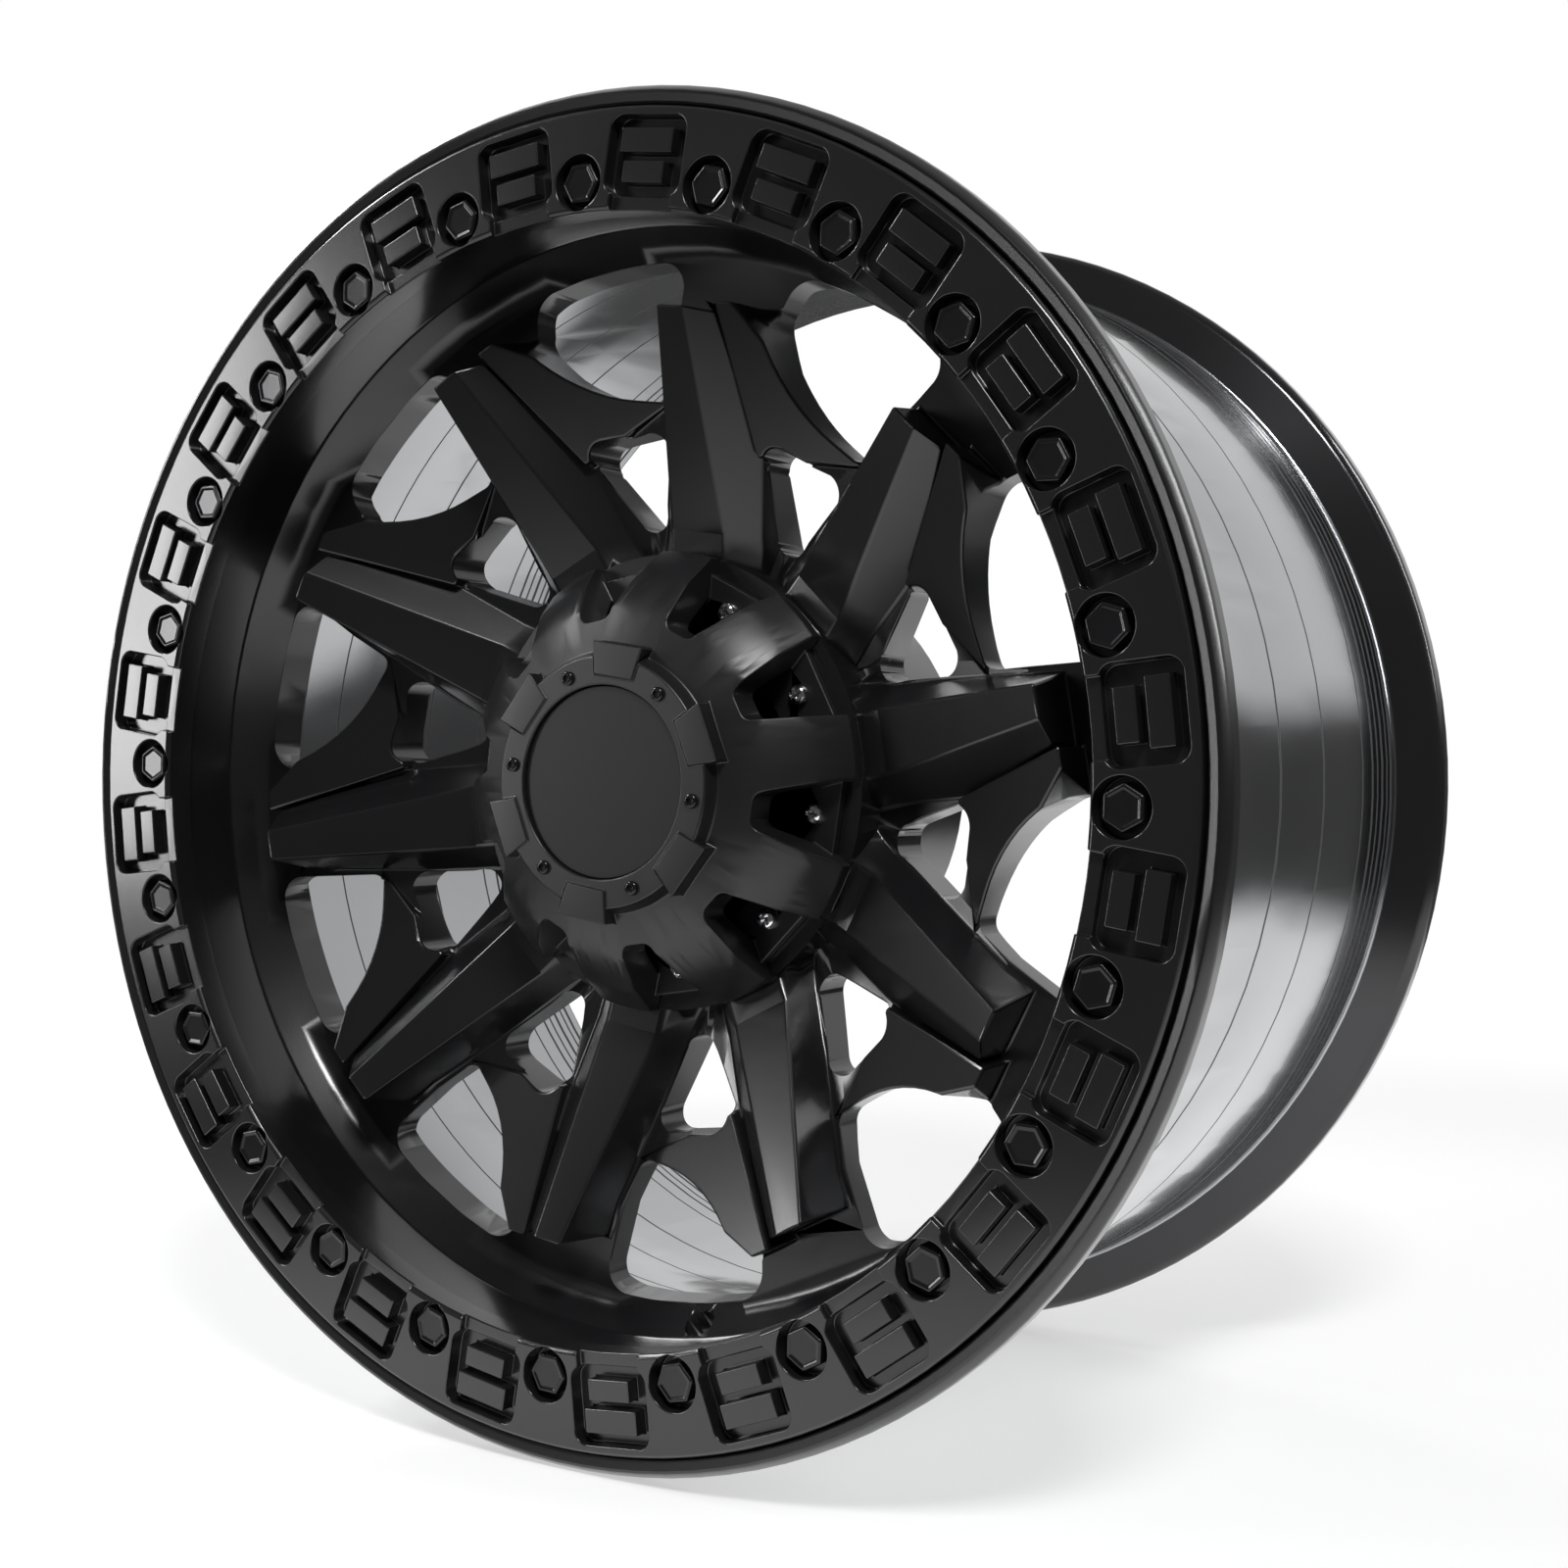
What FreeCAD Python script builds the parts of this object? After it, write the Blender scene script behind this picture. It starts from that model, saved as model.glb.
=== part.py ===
"""Ten-spoke wheel rim with a bolted lip ring and a ten-armed centre cap.

The axle is the Y axis, the styled face looks to -Y and +Z is up. The depth of each feature is measured
from the lip ring's front face, which lies half the rim's width in front of the origin. Every body is
built with its first spoke along +X and is then turned to the spoke's place by its Placement.
"""
import os
import re
from math import sin, tan

import FreeCAD
import Part
import Sketcher

SIZES = {
    # Rim
    "rim_width": 254.0,
    "flange_r": 235.6,
    "flange_height": 17.3,
    "flange_depth": 14.0,
    "flange_round": 2.5,
    "flange_lip": 7.6,
    "front_seat_end": 40.0,
    "drop_depth": 14.3,
    "drop_start": 54.0,
    "drop_end": 100.0,
    "shoulder_drop": 6.3,
    "shoulder_depth": 150.0,
    "rear_seat_long": 38.0,
    "barrel_wall": 7.0,
    # Bowl and web
    "lip_end": 35.0,
    "bowl_run": 9.4,
    "web_front": 49.5,
    "web_flat": 32.0,
    "web_bend_drop": 1.5,
    "web_hub_drop": 25.5,
    "web_wall": 11.0,
    # Hub
    "hub_wall": 2.65,
    "hub_front": 61.0,
    "mount_face": 139.0,
    "bore_r": 39.05,
    "small_pcd": 127.0,
    "large_pcd": 139.7,
    "lug_hole_r": 7.25,
    "lug_well_r": 11.0,
    "lug_seat_wall": 22.0,
    # Spokes
    "spoke_count": 10.0,
    "spoke_phase": 80.7,
    "blade_inset": 20.0,
    "blade_rise": 24.0,
    "blade_tip_half": 5.6,
    "blade_root_reach": 8.5,
    "blade_root_sink": 0.5,
    "blade_root_half": 11.6,
    "blade_tip_depth": 31.5,
    "blade_root_depth": 32.0,
    "flank_tip": 5.0,
    "flank_root": 13.0,
    "facet_tip": 8.0,
    "facet_root": 19.5,
    "fin_inset": 17.0,
    "fin_rise": 18.5,
    "fin_ridge_end": 14.2,
    "fin_edge_end": 21.5,
    "fin_draft": 9.0,
    "fin_root": 120.0,
    "fin_root_drop": 7.0,
    "fin_ridge_root": 24.0,
    "fin_edge_root": 68.0,
    # Windows
    "outer_fin_inset": 19.5,
    "outer_fin_v": 29.0,
    "strut_mid_u": 138.0,
    "strut_mid_v": 40.5,
    "strut_mid_corner": 60.0,
    "strut_u": 120.5,
    "strut_v": 67.3,
    "outer_corner_1": 11.0,
    "outer_corner_2": 9.0,
    "outer_arc_corner": 60.0,
    "outer_tip_corner": 5.0,
    "window_lead": 11.2,
    "window_trail": 3.4,
    "inner_lead_u": 127.5,
    "inner_lead_v": 24.0,
    "inner_strut_u": 113.5,
    "inner_strut_v": 62.0,
    "inner_hub_gap": 4.5,
    "inner_hub_v": 29.5,
    "inner_side_gap": 3.5,
    "inner_side_v": 38.0,
    "inner_corner": 7.0,
    "inner_hub_corner": 5.8,
    # Lip ring and its bolts
    "ring_band": 34.5,
    "ring_overhang": 2.9,
    "ring_thick": 12.0,
    "ring_chamfer": 1.2,
    "ring_gap": 0.6,
    "bolt_count": 24.0,
    "bolt_phase": 7.3,
    "bolt_inset": 10.1,
    "recess_r": 9.4,
    "recess_depth": 7.0,
    "bolt_r": 4.0,
    "bolt_clearance": 0.3,
    "bolt_reach": 16.0,
    "head_across": 13.0,
    "head_tall": 5.3,
    "pocket_half": 15.5,
    "pocket_rim": 3.5,
    "pocket_corner": 5.0,
    "pocket_depth": 5.5,
    "moat_width": 4.2,
    "pad_inner_half": 8.4,
    "pad_inner_long": 7.2,
    "pad_gap": 2.8,
    "pad_outer_half": 10.6,
    "sill_width": 4.5,
    "sill_drop": 2.6,
    "sill_half": 12.5,
    "sill_reach": 3.0,
    # Valve hole
    "valve_angle": -162.0,
    "valve_r": 5.7,
    "valve_entry_in": 10.4,
    "valve_entry": 36.0,
    "valve_tilt": 40.0,
    "valve_length": 40.0,
    # Centre cap
    "cap_tall": 39.2,
    "collar_band": 10.3,
    "collar_tall": 5.2,
    "dome_mid_in": 22.0,
    "dome_mid_drop": 10.2,
    "dome_low_in": 9.0,
    "dome_low_drop": 21.7,
    "arm_over": 0.5,
    "arm_tall": 5.0,
    "cap_wall": 5.0,
    "base_thick": 4.0,
    "base_lap": 6.0,
    "ear_in": 7.0,
    "slot_in": 26.0,
    "slot_inner_half": 5.5,
    "slot_over": 8.0,
    "slot_outer_half": 19.0,
    "slot_corner": 4.0,
    "tab_count": 6.0,
    "tab_in": 3.0,
    "tab_over": 4.5,
    "tab_inner_half": 8.3,
    "tab_outer_half": 10.8,
    "tab_rise": 0.6,
    "disc_r": 34.0,
    "disc_sink": 1.7,
    "disc_thick": 3.0,
    "disc_clearance": 0.2,
    # Small screws
    "cap_screw_in": 16.0,
    "cap_screw_r": 2.0,
    "cap_screw_reach": 10.0,
    "cap_head_r": 3.7,
    "cap_head_tall": 3.2,
    "collar_screw_out": 5.2,
    "collar_screw_r": 1.3,
    "collar_screw_reach": 5.0,
    "collar_head_r": 2.5,
    "collar_head_tall": 1.4,
    "screw_clearance": 0.1,
}

# Sizes that follow from the ones above, so that each piece keeps its seat when one of them changes.
FOLLOWING = {
    "bead_seat_r": "flange_r - flange_height",
    "drop_r": "bead_seat_r - drop_depth",
    "shoulder_r": "bead_seat_r - shoulder_drop",
    "rear_seat_start": "rim_width - rear_seat_long",
    "ring_outer_r": "flange_r - flange_lip",
    "ring_inner_r": "ring_outer_r - ring_band",
    "lip_r": "ring_inner_r + ring_overhang",
    "window_r": "lip_r - bowl_run",
    "web_bend_r": "window_r - web_flat",
    "web_bend": "web_front + web_bend_drop",
    "web_hub": "web_front + web_hub_drop",
    "hub_r": "large_pcd / 2 + lug_well_r + hub_wall",
    "lug_seat": "mount_face - lug_seat_wall",
    "blade_end": "window_r - blade_inset",
    "blade_tip": "web_front - blade_rise",
    "blade_root": "hub_r + blade_root_reach",
    "blade_root_front": "hub_front + blade_root_sink",
    "fin_end": "window_r - fin_inset",
    "fin_tip": "web_front - fin_rise",
    "fin_root_front": "web_front + fin_root_drop",
    "outer_fin_u": "window_r - outer_fin_inset",
    "inner_hub_u": "hub_r + inner_hub_gap",
    "inner_side_u": "hub_r + inner_side_gap",
    "bolt_circle_r": "ring_inner_r + bolt_inset",
    "pocket_inner_r": "ring_inner_r + sill_width",
    "pocket_outer_r": "ring_outer_r - pocket_rim",
    "pad_inner_start": "pocket_inner_r + moat_width",
    "pad_inner_end": "pad_inner_start + pad_inner_long",
    "pad_outer_start": "pad_inner_end + pad_gap",
    "pad_outer_end": "pocket_outer_r - moat_width",
    "valve_entry_r": "lip_r - valve_entry_in",
    "collar_front": "hub_front - cap_tall",
    "collar_r": "disc_r + collar_band",
    "collar_side": "collar_front + collar_tall",
    "arm_r": "hub_r + arm_over",
    "arm_end": "hub_front - arm_tall",
    "dome_mid_r": "arm_r - dome_mid_in",
    "dome_mid": "collar_front + dome_mid_drop",
    "dome_low_r": "arm_r - dome_low_in",
    "dome_low": "collar_front + dome_low_drop",
    "ear_r": "arm_r - ear_in",
    "slot_inner_r": "arm_r - slot_in",
    "slot_outer_r": "arm_r + slot_over",
    "base_inner_r": "slot_inner_r - base_lap",
    "tab_inner_r": "disc_r + tab_in",
    "tab_outer_r": "collar_r + tab_over",
    "disc_front": "collar_front + disc_sink",
    "cap_screw_circle_r": "arm_r - cap_screw_in",
    "collar_screw_circle_r": "disc_r + collar_screw_out",
}

AXLE = FreeCAD.Vector(0, -1, 0)
NORMAL = FreeCAD.Vector(0, 0, 1)

doc = FreeCAD.newDocument("wheel_rim")
sheet = doc.addObject("Spreadsheet::Sheet", "Sizes")
cells = {alias: str(size) for alias, size in SIZES.items()}
cells.update({alias: f"={rule}" for alias, rule in FOLLOWING.items()})
for row, (alias, content) in enumerate(cells.items(), start=1):
    sheet.set(f"A{row}", alias)
    sheet.set(f"B{row}", content)
    sheet.setAlias(f"B{row}", alias)
doc.recompute()


def bound(text):
    """Return the expression with each size name pointing at the sheet."""
    return re.sub(r"[a-z]\w*_\w+", lambda found: "Sizes." + found.group(0), text)


def value(text):
    """Return the number that an expression in size names has now."""
    return float(sheet.evalExpression(bound(text)))


def depth(text):
    """Return the Y expression of a depth behind the lip ring's front face."""
    return f"({text}) - rim_width / 2"


def new_body(label):
    """Return an empty body, turned so that its first spoke stands in place."""
    body = doc.addObject("PartDesign::Body", label)
    body.Label = label
    body.AllowCompound = True
    body.Placement = FreeCAD.Placement(FreeCAD.Vector(0, 0, 0), FreeCAD.Rotation(AXLE, value("spoke_phase")))
    body.setExpression("Placement.Rotation.Angle", bound("spoke_phase"))
    return body


def origin_item(body, name):
    """Return one plane or axis of the body's origin."""
    return next(item for item in body.Origin.OriginFeatures if item.Role == name)


def new_sketch(body, name, plane, offset="", turn=""):
    """Return a sketch on an origin plane, moved along its normal and turned about it."""
    sketch = body.newObject("Sketcher::SketchObject", name)
    sketch.AttachmentSupport = [(origin_item(body, plane), "")]
    sketch.MapMode = "FlatFace"
    sketch.AttachmentOffset = FreeCAD.Placement(FreeCAD.Vector(0, 0, 0), FreeCAD.Rotation(NORMAL, 1))
    sketch.setExpression("AttachmentOffset.Rotation.Angle", bound(turn) if turn else "0")
    if offset:
        sketch.setExpression("AttachmentOffset.Base.z", bound(offset))
    return sketch


def front_sketch(body, name, at, turn=""):
    """Return a sketch that faces the front, in the plane at the given depth."""
    return new_sketch(body, name, "XZ_Plane", f"-({depth(at)})", turn)


def add_dimension(sketch, kind, refs, text):
    """Add one dimension that follows an expression in size names."""
    index = sketch.addConstraint(Sketcher.Constraint(kind, *refs, value(text)))
    name = f"size_{index}"
    sketch.renameConstraint(index, name)
    sketch.setExpression(f"Constraints.{name}", bound(text))


def pin(sketch, geometry, position, x, y):
    """Fix one point of the sketch by two expressions."""
    for kind, text in (("DistanceX", x), ("DistanceY", y)):
        if text == "0":
            axis = -2 if kind == "DistanceX" else -1
            sketch.addConstraint(Sketcher.Constraint("PointOnObject", geometry, position, axis))
        else:
            add_dimension(sketch, kind, (-1, 1, geometry, position), text)


def add_polygon(sketch, points):
    """Draw a closed polygon whose corners are pairs of expressions."""
    spots = [FreeCAD.Vector(value(x), value(y), 0) for x, y in points]
    count = len(spots)
    lines = [sketch.addGeometry(Part.LineSegment(spots[i], spots[(i + 1) % count])) for i in range(count)]
    for i, (x, y) in enumerate(points):
        sketch.addConstraint(Sketcher.Constraint("Coincident", lines[i - 1], 2, lines[i], 1))
        pin(sketch, lines[i], 1, x, y)


def add_rounded(sketch, corners):
    """Draw a closed outline whose corners are two expressions and a radius each."""
    spots = [FreeCAD.Vector(value(x), value(y), 0) for x, y, _ in corners]
    count = len(spots)
    starts, ends = [], []
    for i in range(count):
        back = (spots[i - 1] - spots[i]).normalize()
        ahead = (spots[(i + 1) % count] - spots[i]).normalize()
        half = back.getAngle(ahead) / 2
        reach = value(corners[i][2]) / tan(half)
        starts.append(spots[i] + back * reach)
        ends.append(spots[i] + ahead * reach)
    lines = [sketch.addGeometry(Part.LineSegment(ends[i], starts[(i + 1) % count])) for i in range(count)]
    for i, (x, y, radius) in enumerate(corners):
        middle = (starts[i] + ends[i]) / 2
        inward = (middle - spots[i]).normalize()
        half = (spots[i - 1] - spots[i]).getAngle(spots[(i + 1) % count] - spots[i]) / 2
        centre = spots[i] + inward * (value(radius) / sin(half))
        top = centre - inward * value(radius)
        arc = sketch.addGeometry(Part.Arc(starts[i], top, ends[i]))
        first, last = (1, 2) if sketch.getPoint(arc, 1).isEqual(starts[i], 1e-4) else (2, 1)
        sketch.addConstraint(Sketcher.Constraint("Tangent", lines[i - 1], 2, arc, first))
        sketch.addConstraint(Sketcher.Constraint("Tangent", arc, last, lines[i], 1))
        add_dimension(sketch, "Radius", (arc,), radius)
        corner = sketch.addGeometry(Part.Point(spots[i]), True)
        pin(sketch, corner, 1, x, y)
        sketch.addConstraint(Sketcher.Constraint("PointOnObject", corner, 1, lines[i - 1]))
        sketch.addConstraint(Sketcher.Constraint("PointOnObject", corner, 1, lines[i]))


def add_circle(sketch, x, y, radius):
    """Draw a circle whose centre and radius are expressions."""
    spot = FreeCAD.Vector(value(x), value(y), 0)
    circle = sketch.addGeometry(Part.Circle(spot, NORMAL, value(radius)))
    pin(sketch, circle, 3, x, y)
    add_dimension(sketch, "Radius", (circle,), radius)


def revolve(body, name, points):
    """Spin a half section of radius and depth expressions about the axle."""
    sketch = new_sketch(body, name + "_section", "XY_Plane")
    add_polygon(sketch, [(r, depth(d)) for r, d in points])
    feature = body.newObject("PartDesign::Revolution", name)
    feature.Profile = sketch
    feature.ReferenceAxis = (sketch, ["V_Axis"])
    feature.Angle = 360
    return feature


def pad(body, name, sketch, length, forward=True):
    """Raise a front sketch by a length, forward or back along the axle."""
    feature = body.newObject("PartDesign::Pad", name)
    feature.Profile = sketch
    feature.Reversed = not forward
    feature.setExpression("Length", bound(length))
    return feature


def pocket(body, name, sketch, length="", forward=False):
    """Cut a front sketch by a length, or right through both ways where none is given."""
    feature = body.newObject("PartDesign::Pocket", name)
    feature.Profile = sketch
    if length:
        feature.Reversed = forward
        feature.setExpression("Length", bound(length))
    else:
        feature.Type = "ThroughAll"
        feature.Midplane = True
    return feature


def loft(body, name, sketches):
    """Join sections along a spoke with flat-ruled sides."""
    feature = body.newObject("PartDesign::AdditiveLoft", name)
    feature.Profile = sketches[0]
    feature.Sections = sketches[1:]
    feature.Ruled = True
    return feature


def pattern(body, name, features, count):
    """Repeat features evenly about the axle."""
    feature = body.newObject("PartDesign::PolarPattern", name)
    feature.Originals = features
    feature.Axis = (origin_item(body, "Y_Axis"), [""])
    feature.Angle = 360
    feature.setExpression("Occurrences", bound(count))
    body.Tip = feature
    return feature


def spoke_section(body, name, at, points):
    """Return a section across a spoke, from pairs of depth and sideways expressions."""
    sketch = new_sketch(body, name, "YZ_Plane", at)
    add_polygon(sketch, [(depth(d), v) for d, v in points])
    return sketch


def make_casting():
    """Build the rim, web, hub, spokes, fins, windows and holes as one casting."""
    body = new_body("wheel_casting")
    revolve(body, "rim", [
        ("ring_outer_r + ring_gap", "ring_thick"),
        ("ring_outer_r + ring_gap", "flange_round"),
        ("flange_r - flange_round", "flange_round / 2"),
        ("flange_r", "flange_round * 2"),
        ("flange_r", "flange_depth - flange_round"),
        ("bead_seat_r + flange_round", "flange_depth"),
        ("bead_seat_r", "flange_depth + flange_round * 2"),
        ("bead_seat_r - 1", "front_seat_end"),
        ("drop_r", "drop_start"),
        ("drop_r", "drop_end"),
        ("shoulder_r", "shoulder_depth"),
        ("bead_seat_r - 1", "rear_seat_start"),
        ("bead_seat_r", "rim_width - flange_depth - flange_round"),
        ("flange_r - flange_round", "rim_width - flange_depth + flange_round"),
        ("flange_r", "rim_width - flange_depth + flange_round * 2"),
        ("flange_r", "rim_width - flange_round"),
        ("flange_r - flange_round", "rim_width"),
        ("bead_seat_r + 8", "rim_width"),
        ("bead_seat_r - barrel_wall", "rim_width - flange_depth"),
        ("shoulder_r - barrel_wall", "shoulder_depth"),
        ("drop_r - barrel_wall", "drop_end"),
        ("drop_r - barrel_wall", "web_front + web_wall + 14"),
        ("window_r - 4", "web_front + web_wall"),
        ("web_bend_r", "web_bend + web_wall"),
        ("hub_r + 2", "web_hub + web_wall * 1.6"),
        ("hub_r", "mount_face"),
        ("bore_r", "mount_face"),
        ("bore_r", "hub_front"),
        ("hub_r", "hub_front"),
        ("hub_r", "web_hub"),
        ("web_bend_r", "web_bend"),
        ("window_r", "web_front"),
        ("lip_r", "lip_end"),
        ("lip_r", "ring_thick"),
    ])
    tip = spoke_section(body, "blade_tip_section", "blade_end", [
        ("blade_tip", "blade_tip_half"),
        ("web_front + 2", "blade_tip_half + flank_tip"),
        ("blade_tip + blade_tip_depth", "blade_tip_half + 2"),
        ("blade_tip + blade_tip_depth", "-(blade_tip_half + 2)"),
        ("web_front + 2", "-(blade_tip_half + facet_tip)"),
        ("blade_tip + facet_tip", "-(blade_tip_half + facet_tip)"),
        ("blade_tip", "-blade_tip_half"),
    ])
    root = spoke_section(body, "blade_root_section", "blade_root", [
        ("blade_root_front", "blade_root_half"),
        ("web_hub + 2", "blade_root_half + flank_root"),
        ("blade_root_front + blade_root_depth", "blade_root_half + 4"),
        ("blade_root_front + blade_root_depth", "-(blade_root_half + 4)"),
        ("blade_root_front + facet_root + 4", "-(blade_root_half + facet_root)"),
        ("blade_root_front + facet_root", "-(blade_root_half + facet_root)"),
        ("blade_root_front", "-blade_root_half"),
    ])
    heart = spoke_section(body, "blade_heart_section", "hub_r - 12", [
        ("hub_front + 4", "blade_root_half"),
        ("web_hub + 2", "blade_root_half + flank_root"),
        ("blade_root_front + blade_root_depth", "blade_root_half + 4"),
        ("blade_root_front + blade_root_depth", "-(blade_root_half + 4)"),
        ("blade_root_front + facet_root + 4", "-(blade_root_half + flank_root)"),
        ("blade_root_front + facet_root", "-(blade_root_half + flank_root)"),
        ("hub_front + 4", "-blade_root_half"),
    ])
    blade = loft(body, "blade", [tip, root, heart])
    fin_tip = spoke_section(body, "fin_tip_section", "fin_end", [
        ("fin_tip", "-fin_ridge_end"),
        ("web_front + 4", "-fin_ridge_end"),
        ("web_front + 4", "-(fin_edge_end + fin_draft)"),
        ("fin_tip", "-fin_edge_end"),
    ])
    fin_root = spoke_section(body, "fin_root_section", "fin_root", [
        ("fin_root_front", "-fin_ridge_root"),
        ("fin_root_front + web_wall", "-fin_ridge_root"),
        ("fin_root_front + web_wall", "-fin_edge_root"),
        ("fin_root_front", "-fin_edge_root"),
    ])
    fin = loft(body, "fin", [fin_tip, fin_root])
    pattern(body, "spokes", [blade, fin], "spoke_count")
    outer = front_sketch(body, "outer_outline", "blade_tip")
    pitch = "360 / spoke_count"
    span = f"({pitch} - window_lead - window_trail)"
    arc = [(f"window_r * cos(-window_lead - {span} * {k} / 3)",
            f"window_r * sin(-window_lead - {span} * {k} / 3)") for k in range(4)]
    add_rounded(outer, [
        ("outer_fin_u", "-outer_fin_v", "outer_corner_1"),
        (*arc[0], "outer_corner_1"),
        (*arc[1], "outer_arc_corner"),
        (*arc[2], "outer_arc_corner"),
        (*arc[3], "outer_corner_2"),
        ("strut_u", "-strut_v", "outer_tip_corner"),
        ("strut_mid_u", "-strut_mid_v", "strut_mid_corner"),
    ])
    inner = front_sketch(body, "inner_outline", "web_front")
    add_rounded(inner, [
        ("inner_lead_u", "-inner_lead_v", "inner_corner"),
        ("inner_strut_u", "-inner_strut_v", "inner_corner"),
        ("inner_side_u", "-inner_side_v", "inner_hub_corner"),
        ("inner_hub_u", "-inner_hub_v", "inner_hub_corner"),
    ])
    doc.recompute()
    windows = [pocket(body, "outer_window", outer), pocket(body, "inner_window", inner)]
    pattern(body, "windows", windows, "spoke_count")
    for size, turn in (("small_pcd", "0"), ("large_pcd", pitch)):
        well = front_sketch(body, size + "_wells", "hub_front", turn)
        add_circle(well, f"{size} / 2", "0", "lug_well_r")
        hole = front_sketch(body, size + "_holes", "hub_front", turn)
        add_circle(hole, f"{size} / 2", "0", "lug_hole_r")
        cuts = [
            pocket(body, size + "_well", well, "lug_seat - hub_front"),
            pocket(body, size + "_hole", hole, "mount_face - hub_front"),
        ]
        pattern(body, size + "_lugs", cuts, "spoke_count / 2")
    thread = front_sketch(body, "ring_thread_outline", "ring_thick", "bolt_phase")
    add_circle(thread, "bolt_circle_r", "0", "bolt_r + bolt_clearance")
    thread_cut = pocket(body, "ring_thread", thread, "bolt_reach")
    pattern(body, "ring_threads", [thread_cut], "bolt_count")
    screw = front_sketch(body, "cap_thread_outline", "hub_front", f"{pitch} / 2")
    add_circle(screw, "cap_screw_circle_r", "0", "cap_screw_r + screw_clearance")
    screw_cut = pocket(body, "cap_thread", screw, "cap_screw_reach")
    pattern(body, "cap_threads", [screw_cut], "spoke_count")
    valve = body.newObject("PartDesign::SubtractiveCylinder", "valve_hole")
    aside = FreeCAD.Rotation(AXLE, value("valve_angle"))
    tilt = FreeCAD.Rotation(NORMAL, value("valve_tilt"))
    along = FreeCAD.Rotation(FreeCAD.Vector(0, 0, 1), FreeCAD.Vector(1, 0, 0))
    spot = FreeCAD.Vector(value("valve_entry_r"), value(depth("valve_entry")), 0)
    valve.Placement = FreeCAD.Placement(aside.multVec(spot), aside.multiply(tilt).multiply(along))
    valve.setExpression("Radius", bound("valve_r"))
    valve.setExpression("Height", bound("valve_length"))
    return body


def make_ring():
    """Build the lip ring with its bolt recesses and padded pockets."""
    body = new_body("lip_ring")
    revolve(body, "ring", [
        ("ring_inner_r", "ring_chamfer"),
        ("ring_inner_r + ring_chamfer", "0"),
        ("ring_outer_r - ring_chamfer", "0"),
        ("ring_outer_r", "ring_chamfer"),
        ("ring_outer_r", "ring_thick"),
        ("ring_inner_r", "ring_thick"),
    ])
    recess = front_sketch(body, "recess_outline", "0", "bolt_phase")
    add_circle(recess, "bolt_circle_r", "0", "recess_r")
    hole = front_sketch(body, "hole_outline", "0", "bolt_phase")
    add_circle(hole, "bolt_circle_r", "0", "bolt_r + bolt_clearance")
    between = "bolt_phase - 180 / bolt_count"
    moat = front_sketch(body, "moat_outline", "0", between)
    add_rounded(moat, [
        ("pocket_inner_r", "-pocket_half", "pocket_corner"),
        ("pocket_outer_r", "-pocket_half", "pocket_corner"),
        ("pocket_outer_r", "pocket_half", "pocket_corner"),
        ("pocket_inner_r", "pocket_half", "pocket_corner"),
    ])
    for part in ("inner", "outer"):
        half = f"pad_{part}_half"
        add_polygon(moat, [
            (f"pad_{part}_start", f"-{half}"),
            (f"pad_{part}_end", f"-{half}"),
            (f"pad_{part}_end", half),
            (f"pad_{part}_start", half),
        ])
    sill = front_sketch(body, "sill_outline", "0", between)
    add_polygon(sill, [
        ("ring_inner_r - sill_reach", "-sill_half"),
        ("pocket_inner_r + sill_reach", "-sill_half"),
        ("pocket_inner_r + sill_reach", "sill_half"),
        ("ring_inner_r - sill_reach", "sill_half"),
    ])
    doc.recompute()
    cuts = [
        pocket(body, "sill", sill, "sill_drop"),
        pocket(body, "recess", recess, "recess_depth"),
        pocket(body, "hole", hole, "ring_thick"),
        pocket(body, "moat", moat, "pocket_depth"),
    ]
    pattern(body, "stations", cuts, "bolt_count")
    return body


def make_ring_bolts():
    """Build the bolts that hold the lip ring, as a group of separate solids."""
    body = new_body("ring_bolts")
    head = front_sketch(body, "head_outline", "recess_depth", "bolt_phase")
    corner = "head_across / sqrt(3)"
    add_polygon(head, [(f"bolt_circle_r + {corner} * cos({60 * k})",
                        f"{corner} * sin({60 * k})" if k % 3 else "0") for k in range(6)])
    shank = front_sketch(body, "shank_outline", "recess_depth", "bolt_phase")
    add_circle(shank, "bolt_circle_r", "0", "bolt_r")
    pieces = [
        pad(body, "head", head, "head_tall"),
        pad(body, "shank", shank, "ring_thick - recess_depth + bolt_reach - 1", forward=False),
    ]
    pattern(body, "bolts", pieces, "bolt_count")
    return body


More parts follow.
